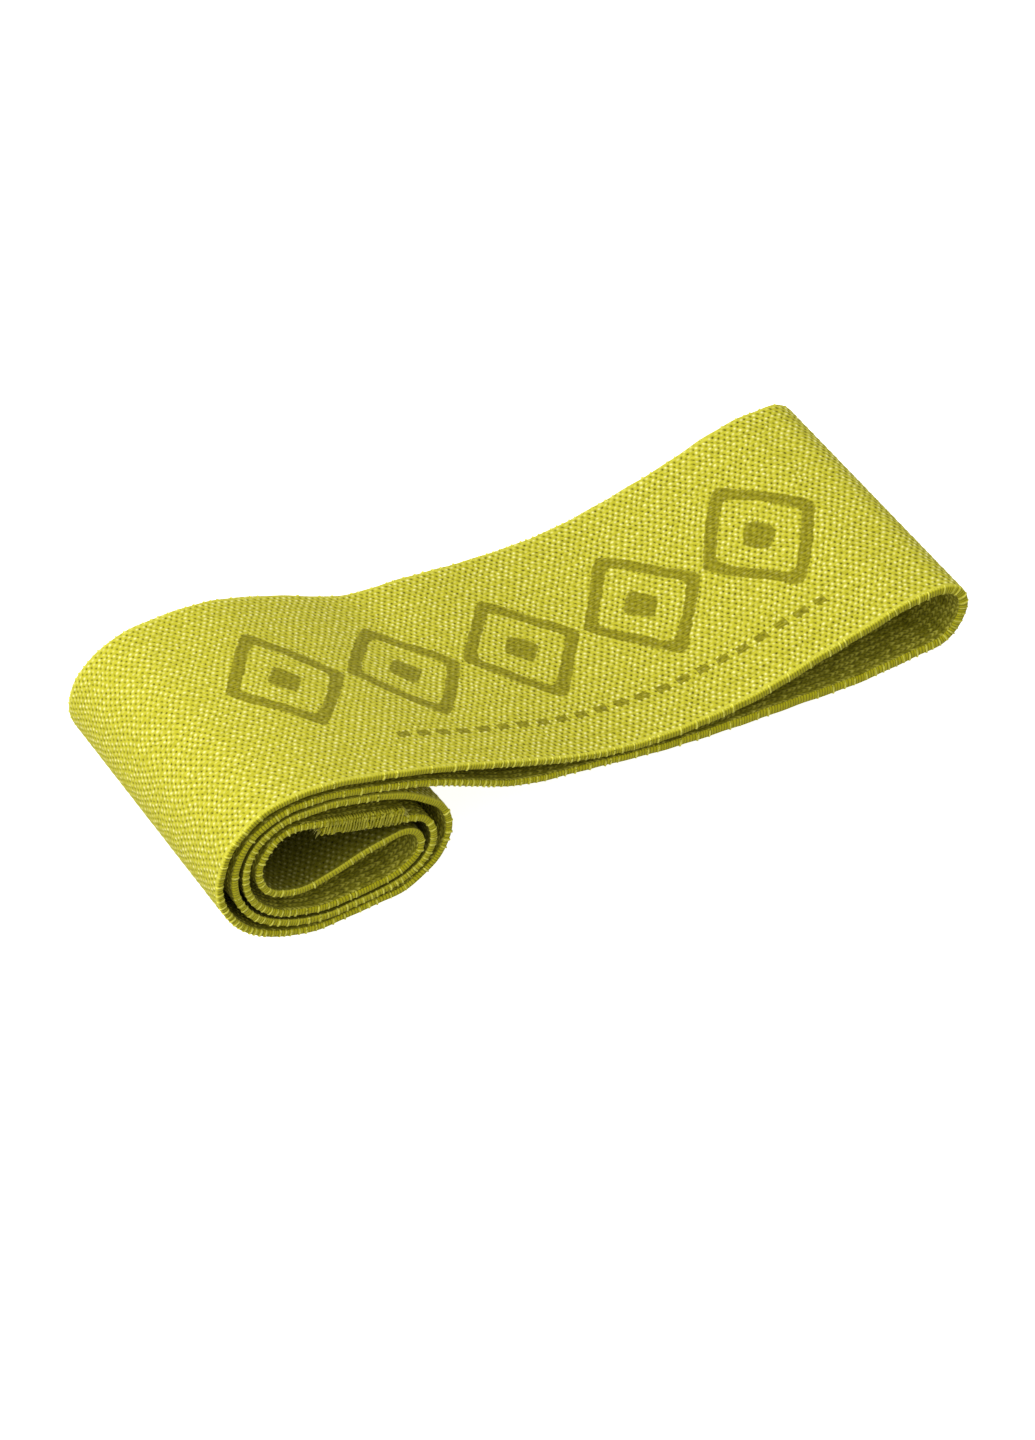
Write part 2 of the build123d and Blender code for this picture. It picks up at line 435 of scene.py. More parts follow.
def face_relief(along, across):
    """Height of the face's knots above the cloth and depth of its holes."""
    across_cells = across / KNOT_PITCH_ACROSS
    row = np.floor(across_cells)
    along_cells = along / KNOT_PITCH_ALONG + 0.5 * np.mod(row, 2)
    beside = along_cells - np.floor(along_cells) - 0.5
    above = across_cells - row - 0.5
    knot = bell(beside, KNOT_SPREAD[0]) * bell(above, KNOT_SPREAD[1])
    hole = bell(np.abs(beside) - 0.5, HOLE_SPREAD[0]) * bell(above, HOLE_SPREAD[1])
    woven = KNOT_HEIGHT * knot - HOLE_DEPTH * hole
    groove = across / GROOVE_PITCH
    groove = bell((groove - np.floor(groove) - 0.5) * GROOVE_PITCH, GROOVE_WIDTH)
    return woven * (1 - 0.75 * pattern(along, across)) - GROOVE_DEPTH * groove


def back_relief(along, across):
    """Height of the back's lengthwise rows, each a chain of slanting stitches."""
    rows = across / ROW_PITCH
    beside = rows - np.floor(rows) - 0.5
    slant = along / STITCH_PITCH + np.abs(beside) * STITCH_SLANT
    stitch = bell(slant - np.floor(slant) - 0.5, ROW_SPREAD)
    return ROW_HEIGHT * (bell(beside, ROW_SPREAD) * (0.5 + 0.5 * stitch) - 0.5)


# ---- The band's cross-section ----
EDGE_ROUNDING = 0.34
FACE_OUT = 0.53
BACK_OUT = -0.55
FACE_FADE = 0.5  # the width beside the edge over which the weave's relief fades out
BACK_FADE = 0.8
BACK_ACROSS_STEP = 0.4
CUT_COLUMNS = 180
CUT_ROWS = 7
CUT_BULGE = 0.12


def edge_profile():
    """The near edge's corners (across, out), from the back cloth to the face's flat part."""
    side = -BAND_WIDTH / 2
    profile = []
    for turn in np.radians([-90, -45, 0]):
        across = side + EDGE_ROUNDING * (1 - math.cos(turn))
        profile.append((across, BACK_OUT + EDGE_ROUNDING + EDGE_ROUNDING * math.sin(turn)))
    for turn in np.radians([0, 30, 60]):
        across = side + EDGE_ROUNDING * (1 - math.cos(turn))
        profile.append((across, FACE_OUT - EDGE_ROUNDING + EDGE_ROUNDING * math.sin(turn)))
    return profile


def strip_uv(along, across):
    """The UV map "strip": metres along and across the strip, with the fold's middle at 0.5."""
    return np.stack([along * METRES + 0.5, across * METRES + 0.5], axis=-1).reshape(-1, 2)


def face_sheet(name, along, across_step, materials):
    """The face cloth of one stretch of the band, which also wraps both edges."""
    edge_across, edge_out = np.array(edge_profile()).T
    flat_edge = BAND_WIDTH / 2 - EDGE_ROUNDING
    flat = np.linspace(-flat_edge, flat_edge, int(2 * flat_edge / across_step) + 1)
    across = np.concatenate([edge_across, flat, -edge_across[::-1]])
    out = np.concatenate([edge_out, np.full(len(flat), FACE_OUT), edge_out[::-1]])
    grid_along, grid_across = np.meshgrid(along, across, indexing="ij")
    strip_along, strip_across = wander(grid_along - FOLD, grid_across)
    fade = np.clip((flat_edge - np.abs(grid_across)) / FACE_FADE, 0, 1)
    grid_out = out[None, :] + face_relief(strip_along, strip_across) * fade
    beside = np.sign(grid_across) * (np.abs(grid_across) > flat_edge - 0.01)
    shown_across = grid_across + waves(EDGE_WAVES, grid_along, 0) * beside
    points = on_band(grid_along, shown_across, grid_out).reshape(-1, 3)
    quads = grid_quads(len(along), len(across))
    column = np.tile(np.arange(len(across) - 1), len(along) - 1)
    is_edge = (column < len(edge_out)) | (column >= len(across) - 1 - len(edge_out))
    through = np.broadcast_to(out / FACE_OUT, grid_along.shape)
    uv = strip_uv(strip_along, strip_across)
    return mesh_object(name, points, quads, materials, is_edge, uv, through)


def back_sheet(name, along, across_step, material):
    """The back cloth of one stretch of the band."""
    flat_edge = BAND_WIDTH / 2 - EDGE_ROUNDING
    columns = int(2 * flat_edge / max(across_step, BACK_ACROSS_STEP))
    flat = np.linspace(flat_edge, -flat_edge, columns + 1)
    grid_along, grid_across = np.meshgrid(along, flat, indexing="ij")
    strip_along, strip_across = wander(grid_along - FOLD, grid_across)
    fade = np.clip((flat_edge - np.abs(grid_across)) / BACK_FADE, 0, 1)
    lift = back_relief(strip_along, strip_across) * fade
    points = on_band(grid_along, grid_across, BACK_OUT - lift).reshape(-1, 3)
    quads = grid_quads(len(along), len(flat))
    return mesh_object(name, points, quads, [material], None, strip_uv(strip_along, strip_across))


def cut_end(name, at, material):
    """The cut end of the strip, which shows the weft yarns between the two cloths."""
    reach = BAND_WIDTH / 2 - EDGE_ROUNDING / 2
    across = np.linspace(-reach, reach, CUT_COLUMNS)
    out = np.linspace(BACK_OUT, FACE_OUT, CUT_ROWS)
    grid_across, grid_out = np.meshgrid(across, out, indexing="ij")
    ahead = 1 if at > 0 else -1
    from_middle = np.abs(2 * (grid_out - BACK_OUT) / (FACE_OUT - BACK_OUT) - 1)
    bulge = np.clip((1 - from_middle) * 3, 0, 1)
    bulge = bulge * (CUT_BULGE + waves(CUT_END_WAVES, grid_across, grid_out))
    points = on_band(at + ahead * bulge, grid_across, grid_out).reshape(-1, 3)
    quads = grid_quads(len(across), len(out))
    if ahead > 0:
        quads = quads[:, ::-1]
    return mesh_object(name, points, quads, [material], None, strip_uv(grid_out, grid_across))


# ---- Materials ----
def srgb(red, green, blue):
    """A colour given as 0 to 255 display values, as the linear values a shader takes."""
    linear = []
    for value in (red, green, blue):
        value /= 255
        linear.append(value / 12.92 if value <= 0.04045 else ((value + 0.055) / 1.055) ** 2.4)
    return (*linear, 1.0)


SHEEN_ROUGHNESS = 0.75
SPECULAR = 0.14
BUMP_DEPTH = 0.0001  # metres


class Nodes:
    """Builds a material's node tree from short calls."""

    def __init__(self, name, roughness, sheen, sheen_tint):
        self.material = bpy.data.materials.new(name)
        self.material.use_nodes = True
        self.tree = self.material.node_tree
        self.shader = self.tree.nodes["Principled BSDF"]
        self.shader.inputs["Roughness"].default_value = roughness
        self.shader.inputs["Sheen Weight"].default_value = sheen
        self.shader.inputs["Sheen Roughness"].default_value = SHEEN_ROUGHNESS
        self.shader.inputs["Sheen Tint"].default_value = sheen_tint
        self.shader.inputs["Specular IOR Level"].default_value = SPECULAR

    def put(self, value, socket):
        """Sets a socket to a value, or links it to another node's output."""
        if isinstance(value, bpy.types.NodeSocket):
            self.tree.links.new(value, socket)
        else:
            socket.default_value = value

    def math(self, operation, *values):
        """The result of one maths node."""
        node = self.tree.nodes.new("ShaderNodeMath")
        node.operation = operation
        for value, socket in zip(values, node.inputs):
            self.put(value, socket)
        return node.outputs[0]

    def mix(self, share, first, second):
        """The first colour with this share of the second."""
        node = self.tree.nodes.new("ShaderNodeMix")
        node.data_type = "RGBA"
        self.put(share, node.inputs["Factor"])
        self.put(first, node.inputs[6])
        self.put(second, node.inputs[7])
        return node.outputs[2]

    def vector(self, x, y, z=0.0):
        """A vector from its parts."""
        node = self.tree.nodes.new("ShaderNodeCombineXYZ")
        for value, socket in zip((x, y, z), node.inputs):
            self.put(value, socket)
        return node.outputs[0]

    def strip(self):
        """The distances along and across the strip, mm."""
        uv = self.tree.nodes.new("ShaderNodeUVMap")
        uv.uv_map = "strip"
        parts = self.tree.nodes.new("ShaderNodeSeparateXYZ")
        self.put(uv.outputs[0], parts.inputs[0])
        along = self.math("MULTIPLY", self.math("SUBTRACT", parts.outputs[0], 0.5), 1 / METRES)
        across = self.math("MULTIPLY", self.math("SUBTRACT", parts.outputs[1], 0.5), 1 / METRES)
        return along, across

    def cell(self, value, pitch, shift=0.0):
        """Which cell a distance falls in, and where in the cell it is, from -0.5 to 0.5."""
        scaled = self.math("ADD", self.math("DIVIDE", value, pitch), shift)
        whole = self.math("FLOOR", scaled)
        return whole, self.math("SUBTRACT", self.math("SUBTRACT", scaled, whole), 0.5)

    def bell(self, value, width):
        """1 where the value is 0, falling smoothly to 0 beyond the width."""
        scaled = self.math("DIVIDE", value, width)
        squared = self.math("MULTIPLY", scaled, scaled)
        return self.math("EXPONENT", self.math("MULTIPLY", squared, -1.0))

    def from_middle(self, value, middle):
        """How far the value is from the middle, on either side."""
        return self.math("ABSOLUTE", self.math("SUBTRACT", value, middle))

    def between(self, value, low, high):
        """1 where the value is between the two, 0 elsewhere."""
        above = self.math("GREATER_THAN", value, low)
        return self.math("MULTIPLY", above, self.math("LESS_THAN", value, high))

    def noise(self, vector, scale, detail=2.0):
        """Smooth noise, about 0.5."""
        node = self.tree.nodes.new("ShaderNodeTexNoise")
        self.put(vector, node.inputs["Vector"])
        node.inputs["Scale"].default_value = scale
        node.inputs["Detail"].default_value = detail
        return node.outputs[0]

    def random(self, vector):
        """A value from 0 to 1 that is fixed for each cell."""
        node = self.tree.nodes.new("ShaderNodeTexWhiteNoise")
        node.noise_dimensions = "3D"
        self.put(vector, node.inputs["Vector"])
        return node.outputs["Value"]

    def streaks(self, along, across, per_along, per_across):
        """Noise drawn out along the yarns."""
        along = self.math("MULTIPLY", along, per_along)
        across = self.math("MULTIPLY", across, per_across)
        return self.noise(self.vector(along, across), 1.0, 3.0)

    def ramp(self, value, low, high, to_low=0.0, to_high=1.0):
        """The value mapped smoothly from one range to another, and held at its ends."""
        node = self.tree.nodes.new("ShaderNodeMapRange")
        node.interpolation_type = "SMOOTHSTEP"
        for item, socket in zip((value, low, high, to_low, to_high), node.inputs):
            self.put(item, socket)
        return node.outputs[0]

    def finish(self, colour, height, bump):
        """The material with this colour, and the height as fine bumps."""
        self.put(colour, self.shader.inputs["Base Color"])
        node = self.tree.nodes.new("ShaderNodeBump")
        node.inputs["Strength"].default_value = bump
        node.inputs["Distance"].default_value = BUMP_DEPTH
        self.put(height, node.inputs["Height"])
        self.put(node.outputs[0], self.shader.inputs["Normal"])
        return self.material


LIME_LIGHT = srgb(212, 206, 54)
LIME = srgb(190, 184, 34)
KNOT_YARN_AND_HIGHLIGHT = srgb(254, 250, 172)
HOLE_SHADE = srgb(44, 41, 0)
PATTERN = srgb(122, 116, 4)
PATTERN_LIGHT = srgb(164, 157, 20)
OLIVE = srgb(158, 153, 18)
OLIVE_DARK = srgb(100, 96, 2)
# Painted shade: inside the roll the face is darkened towards this colour, as if in shadow
PAINTED_SHADE_COLOUR = srgb(92, 88, 0)
PAINTED_SHADE_STRENGTH = 0.85
PAINTED_SHADE_FADE = 20.0  # the length over which the face gets darker into the roll, mm
FLECK = srgb(246, 240, 100)
EDGE = srgb(200, 194, 20)
EDGE_LIGHT = srgb(212, 206, 34)
RIM_HIGHLIGHT = srgb(224, 218, 66)
EDGE_DARK = srgb(124, 118, 4)
THREAD = srgb(255, 251, 104)
SEWING_THREAD = srgb(222, 217, 112)
FRAYED_YARN = srgb(226, 220, 112)
OVERCAST_THREAD = srgb(208, 202, 56)
RUBBER = srgb(222, 216, 170)
SHEEN = srgb(236, 230, 110)
CLOTH_SHEEN = 0.06
THREAD_SHEEN = 0.3
DULL_THREAD_SHEEN = 0.05
EDGE_WRAP_PITCH = 0.48
# Where the soft edges of the pattern's colour begin and end
OUTLINE_EDGE = (0.115, 0.15)
HEART_EDGE = (0.34, 0.38)
DASH_EDGE = (0.65, 0.85)


def motif_nodes(make, along, across):
    """1 inside the pattern woven into the face, 0 outside it, with soft edges."""
    _, beside = make.cell(make.math("SUBTRACT", along, LOZENGE_START), LOZENGE_PITCH)
    beside = make.math("MULTIPLY", beside, LOZENGE_PITCH)
    above = make.math("SUBTRACT", across, LOZENGE_MIDDLE)
    reach = []
    for value, half in ((beside, LOZENGE_HALF_LENGTH), (above, LOZENGE_HALF_HEIGHT)):
        squared = make.math("ADD", make.math("MULTIPLY", value, value), LOZENGE_ROUNDING)
        reach.append(make.math("DIVIDE", make.math("SQRT", squared), half))
    fuzz = make.math("SUBTRACT", make.noise(make.vector(along, across), 1.6), 0.5)
    reach = make.math("ADD", make.math("ADD", *reach), make.math("MULTIPLY", fuzz, 0.05))
    outline = make.ramp(make.from_middle(reach, 1.0), *OUTLINE_EDGE, 1.0, 0.0)
    heart = make.ramp(reach, *HEART_EDGE, 1.0, 0.0)
    inside = make.between(along, LOZENGE_START, LOZENGE_END)
    lozenges = make.math("MULTIPLY", make.math("MAXIMUM", outline, heart), inside)

    _, in_dash = make.cell(along, DASH_PITCH)
    dash = make.math("LESS_THAN", in_dash, DASH_SHARE - 0.5)
    dash_edge = make.ramp(make.from_middle(across, DASH_MIDDLE), *DASH_EDGE, 1.0, 0.0)
    dash = make.math("MULTIPLY", dash, dash_edge)
    dash = make.math("MULTIPLY", dash, make.between(along, DASH_START, DASH_END))
    return make.math("MAXIMUM", lozenges, dash)


def painted_shade_nodes(make, along):
    """How much painted shade darkens the face, which it does inside the roll, where the face lies
    in shadow.
    """
    leaves = FOLD - EXIT
    enters = INNER_START - FOLD
    before = make.ramp(make.math("MULTIPLY", along, -1.0), leaves, leaves + PAINTED_SHADE_FADE)
    after = make.ramp(along, enters, enters + PAINTED_SHADE_FADE)
    return make.math("MULTIPLY", make.math("MAXIMUM", before, after), PAINTED_SHADE_STRENGTH)


def face_material():
    """The face's weave, with its pattern."""
    make = Nodes("woven_face", 0.82, CLOTH_SHEEN, SHEEN)
    along, across = make.strip()
    row, above = make.cell(across, KNOT_PITCH_ACROSS)
    shift = make.math("MULTIPLY", make.math("FLOORED_MODULO", row, 2.0), 0.5)
    column, beside = make.cell(along, KNOT_PITCH_ALONG, shift)
    lot = make.random(make.vector(column, row))
    other_lot = make.random(make.vector(column, row, 5.0))
    astray = make.math("MULTIPLY_ADD", other_lot, 0.26, -0.13)
    askew = make.math("MULTIPLY_ADD", lot, 0.30, -0.15)
    knot = make.bell(make.math("ADD", beside, astray), 0.17)
    knot = make.math("MULTIPLY", knot, make.bell(make.math("ADD", above, askew), 0.23))
    # The weave is more open where the band lies out than where it is rolled
    loose = make.ramp(along, TENSION_END, TENSION_START)
    gap = make.math("SUBTRACT", make.math("ABSOLUTE", beside), 0.5)
    hole = make.bell(gap, make.math("MULTIPLY_ADD", loose, 0.03, 0.145))
    open_across = make.math("MULTIPLY_ADD", loose, 0.05, 0.27)
    hole = make.math("MULTIPLY", hole, make.bell(make.math("ADD", above, astray), open_across))

    motif = motif_nodes(make, along, across)
    shade = painted_shade_nodes(make, along)
    streak = make.ramp(make.streaks(along, across, 0.9, 4.2), 0.33, 0.67)
    broad = make.noise(make.vector(along, across), 0.09, 2.0)
    ground = make.mix(streak, LIME, LIME_LIGHT)
    ground = make.mix(make.math("MULTIPLY", broad, 0.25), ground, LIME)
    dark = make.mix(streak, PATTERN, PATTERN_LIGHT)
    # Painted shade: the face is darkened inside the roll, where it lies in shadow
    colour = make.mix(shade, make.mix(motif, ground, dark), PAINTED_SHADE_COLOUR)

    knots = make.math("MULTIPLY", knot, make.math("MULTIPLY_ADD", motif, -0.82, 1.0))
    knots = make.math("MULTIPLY", knots, make.ramp(lot, 0.0, 0.9, 0.3, 1.0))
    knots = make.math("MULTIPLY", knots, make.math("MULTIPLY_ADD", shade, -0.7, 1.0))
    # The knots are paler: partly the yarn's own colour, partly a painted highlight on their crests
    colour = make.mix(knots, colour, KNOT_YARN_AND_HIGHLIGHT)
    holes = make.math("MULTIPLY", hole, make.ramp(other_lot, 0.0, 0.9, 0.6, 1.0))
    holes = make.math("MULTIPLY", holes, make.math("MULTIPLY_ADD", motif, -0.35, 1.0))
    # Painted shade in the weave's holes
    colour = make.mix(holes, colour, HOLE_SHADE)
    _, in_groove = make.cell(across, GROOVE_PITCH)
    groove = make.bell(make.math("MULTIPLY", in_groove, GROOVE_PITCH), 0.26)
    colour = make.mix(make.math("MULTIPLY", groove, 0.15), colour, PATTERN)
    # Painted highlight: the face is paler along both edges, where the rounded corner catches the
    # light
    edge = make.math("ABSOLUTE", across)
    edge = make.ramp(edge, BAND_WIDTH / 2 - 1.2, BAND_WIDTH / 2, 0.0, 0.35)
    edge = make.math("MULTIPLY", edge, make.math("SUBTRACT", 1.0, shade))
    colour = make.mix(edge, colour, THREAD)
    return make.finish(colour, streak, 0.35)


def back_material():
    """The back's lengthwise rows of stitches, each stitch with a bright fleck."""
    make = Nodes("woven_back", 0.85, CLOTH_SHEEN, SHEEN)
    along, across = make.strip()
    row, beside = make.cell(across, ROW_PITCH)
    slant = make.math("MULTIPLY", make.math("ABSOLUTE", beside), STITCH_PITCH * STITCH_SLANT)
    slant = make.math("ADD", along, slant)
    column, stitch = make.cell(slant, STITCH_PITCH, make.math("MULTIPLY", row, 0.37))
    lot = make.random(make.vector(column, row))
    fleck = make.math("MULTIPLY", make.bell(beside, 0.38), make.bell(stitch, 0.34))
    fleck = make.math("MULTIPLY", fleck, make.ramp(lot, 0.05, 0.8, 0.25, 1.0))
    streak = make.streaks(along, across, 1.1, 3.5)
    ground = make.mix(make.ramp(streak, 0.35, 0.65), OLIVE_DARK, OLIVE)
    return make.finish(make.mix(fleck, ground, FLECK), streak, 0.4)


def edge_material():
    """The edge's close wraps of weft yarn, with a painted highlight at the rim beside the face."""
    make = Nodes("woven_edge", 0.8, CLOTH_SHEEN, SHEEN)
    along, _ = make.strip()
    wrap, within = make.cell(along, EDGE_WRAP_PITCH)
    groove = make.bell(make.math("SUBTRACT", make.math("ABSOLUTE", within), 0.5), 0.16)
    lot = make.random(make.vector(wrap, 0.0))
    colour = make.mix(make.ramp(lot, 0.0, 1.0), EDGE, EDGE_LIGHT)
    colour = make.mix(make.math("MULTIPLY", groove, 0.85), colour, EDGE_DARK)
    through = make.tree.nodes.new("ShaderNodeAttribute")
    through.attribute_name = "through"
    # Painted highlight along the rounded rim beside the face
    rim = make.ramp(through.outputs["Fac"], 0.5, 0.98, 0.0, 0.65)
    return make.finish(make.mix(rim, colour, RIM_HIGHLIGHT), make.math("SUBTRACT", 1.0, groove), 0.6)


def thread_material(name, colour, sheen):
    """A plain thread, mottled with a darker shade of its colour."""
    make = Nodes(name, 0.6, sheen, SHEEN)
    place = make.tree.nodes.new("ShaderNodeNewGeometry").outputs["Position"]
    variation = make.noise(place, 900.0, 2.0)
    darker = (colour[0] * 0.6, colour[1] * 0.6, colour[2] * 0.45, 1.0)
    mottled = make.mix(make.ramp(variation, 0.35, 0.65, 0.35, 1.0), darker, colour)
    return make.finish(mottled, variation, 0.3)


face_cloth = face_material()
back_cloth = back_material()
edge_cloth = edge_material()
loop_thread = thread_material("weft_loops", THREAD, DULL_THREAD_SHEEN)
sewing_thread = thread_material("sewing_thread", SEWING_THREAD, THREAD_SHEEN)
frayed_yarn = thread_material("frayed_yarn", FRAYED_YARN, THREAD_SHEEN)
overcast_thread = thread_material("overcast_thread", OVERCAST_THREAD, DULL_THREAD_SHEEN)
rubber = thread_material("rubber_thread", RUBBER, 0.0)

STRETCHES = [
    ("second_turn", 0.0, LOWER_JOIN, COARSE_STEP, COARSE_STEP, "exit"),
    ("lower_run", LOWER_JOIN, UNDER_FOLD, COARSE_STEP, COARSE_STEP, "flap"),
    ("upper_run", UNDER_FOLD, UPPER_JOIN, STEP, STEP, "flap"),
    ("outer_turn_top", UPPER_JOIN, LEFT_BOTTOM, STEP, STEP, "exit"),
    ("outer_turn_bottom", LEFT_BOTTOM, INNER_START, COARSE_STEP, COARSE_STEP, "roll"),
    ("inner_turn", INNER_START, CORE_START, COARSE_STEP, COARSE_STEP, "roll"),
    ("core_turn", CORE_START, LENGTH, COARSE_STEP, COARSE_STEP, "roll"),
]
REPLACED = {
    "second_turn": ["second_turn"],
    "lower_run": ["lower_run", "loop_end"],
    "upper_run": ["upper_run"],
    "outer_turn_top": ["outer_turn"],
    "outer_turn_bottom": ["outer_turn"],
    "inner_turn": ["inner_turn"],
    "core_turn": ["core_turn"],
}


def follow(piece, how):
    """The piece rides on the roll, or stays where it is, with its transform applied."""
    if how == "roll":
        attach(piece, "roll")
    elif how == "exit":
        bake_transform(piece)
    else:
        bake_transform(piece)


# One loop's path round the edge, and its thickness along the path
LOOP_INSET = 0.5
LOOP_BESIDE = np.array([0.0, 0.25, 0.44, 0.50, 0.52, 0.51, 0.45, 0.25, 0.0])
LOOP_OUT = np.array([-0.5, -0.56, -0.40, -0.2, 0.0, 0.2, 0.42, 0.56, 0.52])
LOOP_RUN = 13.0
LOOP_TAPER = np.array([0.4, 0.8, 1, 1, 1, 1, 1, 0.8, 0.4])


def edge_loops(name, first, last):
    """Bright loops of weft yarn round both edges of a stretch, in denser and thinner runs."""
    paths = []
    for side in (-1, 1):
        along = first + 0.3
        while along < last - 0.4:
            lean = rng.uniform(-0.12, 0.12)
            size = rng.uniform(0.11, 0.165)
            beside = LOOP_BESIDE * rng.uniform(0.9, 1.1, len(LOOP_BESIDE))
            across = side * (BAND_WIDTH / 2 + beside - LOOP_INSET)
            path = on_band(along + lean * LOOP_OUT, across, LOOP_OUT)
            paths.append((path, size * LOOP_TAPER))
            dense = 0.5 + 0.5 * math.sin(along / LOOP_RUN + side)
            along += rng.uniform(0.9, 1.4) + (1 - dense) * rng.exponential(2.2)
    return tubes(name, paths, loop_thread, sides=5)


pieces = {}
for name, first, last, step, across_step, how in STRETCHES:
    along = np.linspace(first, last, int(math.ceil((last - first) / step)) + 1)
    face = face_sheet(f"{name}_face", along, across_step, [face_cloth, edge_cloth])
    back = back_sheet(f"{name}_back", along, across_step, back_cloth)
    loops = edge_loops(f"{name}_edge_loops", first, last)
    pieces[name] = (face, back, loops, last - first, how)
cut_ends = [
    cut_end("second_turn_cut_end", 0.0, edge_cloth),
    cut_end("core_turn_cut_end", LENGTH, edge_cloth),
]

for name, (face, back, loops, length, how) in pieces.items():
    for node in REPLACED[name]:
        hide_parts(f"{node}_face_cloth", f"{node}_selvedges")
        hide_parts(f"{node}_back_cloth", f"{node}_rubber_threads")
        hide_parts(f"{node}_selvedges")
    for piece in (face, back, loops):
        follow(piece, how)
for cut in cut_ends:
    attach(cut, "roll")


# ---- The lap: sewn zigzag rows, frayed yarns and rubber ends ----
ZIGZAG_ROWS = np.array([3.0, 7.0, 11.0])  # distances from the cut end
ZIGZAG_STITCH = 2.0
ZIGZAG_THROW = 1.2
ZIGZAG_INSET = 1.5
ZIGZAG_HEIGHT = BAND_THICKNESS / 2 - 0.09  # where the needle goes through
ZIGZAG_ARCH = 0.16
ZIGZAG_RADIUS = 0.15


def zigzag(name, lap_distances, side):
    """Rows of zigzag stitches across the band on one side of the lap."""
    paths = []
    count = int((BAND_WIDTH - 2 * ZIGZAG_INSET) / ZIGZAG_STITCH)
    for along in lap_distances:
        corners = []
        for number in range(count):
            start = ZIGZAG_STITCH * (number - (count - 1) / 2)
            direction = 1 if number % 2 else -1
            for share in np.linspace(0, 1, 5)[:-1]:
                sideways = ZIGZAG_THROW * direction * (1 - 2 * share)
                height = ZIGZAG_HEIGHT + ZIGZAG_ARCH * math.sin(math.pi * share)
                corners.append((along + sideways, start + ZIGZAG_STITCH * share, side * height))
        paths.append((on_band(*np.array(corners).T), ZIGZAG_RADIUS))
    return tubes(name, paths, sewing_thread)


# One wrap's path round the upper ply's edge, and on round the under ply's
WRAP_ACROSS = np.array([24.2, 24.8, 25.04, 25.08, 25.08])
WRAP_BEYOND = np.array([0, 0, 0, 1, 1])
UPPER_WRAP_OUT = np.array([-0.7, -0.72, -0.55, -0.2, 0.3])
LOWER_WRAP_OUT = np.array([-0.4, 0.1, 0.5, 0.7, 0.68])


def overcast(name):
    """Thread that wraps both edges of the lap, round the two plies together."""
    paths = []
    for side in (-1, 1):
        back = 0.4
        while back < LAP_LENGTH - 0.2:
            lean = rng.uniform(-0.15, 0.15)
            beyond = rng.uniform(0.02, 0.12)
            across = side * (WRAP_ACROSS + beyond * WRAP_BEYOND)
            upper = on_band(LENGTH - back, across, UPPER_WRAP_OUT)
            lower = on_band(LAP_LENGTH - back + lean, across[::-1], LOWER_WRAP_OUT)
            wrap = np.concatenate([upper, lower])
            paths.append((wrap[: int(rng.integers(7, 11))], rng.uniform(0.10, 0.18)))
            back += rng.uniform(0.34, 0.66)
    return tubes(name, paths, overcast_thread)


wraps = overcast("seam_overcast_thread")
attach(wraps, "roll")
needle = zigzag("seam_needle_thread_rows", LENGTH - ZIGZAG_ROWS, -1)
bobbin = zigzag("seam_bobbin_thread_rows", ZIGZAG_ROWS, 1)
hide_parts("seam_needle_thread")
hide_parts("seam_bobbin_thread")
for seam in (needle, bobbin):
    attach(seam, "roll")


def frayed(name, at, ahead, count, longest):
    """Short loose yarns out of a cut end, thicker and longer by the near edge."""
    paths = []
    for number in range(count):
        near = number < count // 3
        inset = rng.uniform(0.1, 2.5) if near else rng.uniform(0.3, BAND_WIDTH - 0.3)
        across = inset - BAND_WIDTH / 2
        out = rng.uniform(BACK_OUT * 0.8, FACE_OUT * 0.8)
        length = longest * (rng.uniform(0.5, 1.0) if near else rng.uniform(0.15, 0.5))
        steps = np.linspace(0, 1, 7)
        sway = rng.uniform(-0.5, 0.5) * length
        droop = rng.uniform(0.3, 0.9) * length if near else rng.uniform(-0.25, 0.35) * length
        reach = 0.35 if near else 1.0
        path = on_band(
            at + ahead * reach * length * np.sqrt(steps),
            across + 0.4 * sway * steps**2,
            out + droop * steps**1.5,
        )
        paths.append((path, rng.uniform(0.05, 0.09) * (1 - 0.7 * steps)))
    return tubes(name, paths, frayed_yarn, sides=5)


frays = [
    frayed("upper_end_frayed_yarn", LENGTH, 1, 150, 3.2),
    frayed("under_end_frayed_yarn", 0.0, -1, 70, 1.6),
]
for fray in frays:
    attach(fray, "roll")


RUBBER_THREADS = 12
RUBBER_STRAND = 0.5  # half the distance between a thread's two strands
RUBBER_RADIUS = 0.26
RUBBER_PROUD = np.array([-0.5, 0.1, 0.3])


def rubber_ends(name, at, ahead):
    """The cut ends of the rubber threads, which stand a little proud of the cloth."""
    paths = []
    for number in range(RUBBER_THREADS):
        across = GROOVE_PITCH * (number - (RUBBER_THREADS - 1) / 2)
        for beside in (-RUBBER_STRAND, RUBBER_STRAND):
            path = on_band(at + ahead * RUBBER_PROUD, across + beside, -0.02)
            paths.append((path, RUBBER_RADIUS))
    return tubes(name, paths, rubber, sides=8)


stubs = [
    rubber_ends("upper_end_rubber_ends", LENGTH, 1),
    rubber_ends("under_end_rubber_ends", 0.0, -1),
]
for stub in stubs:
    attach(stub, "roll")

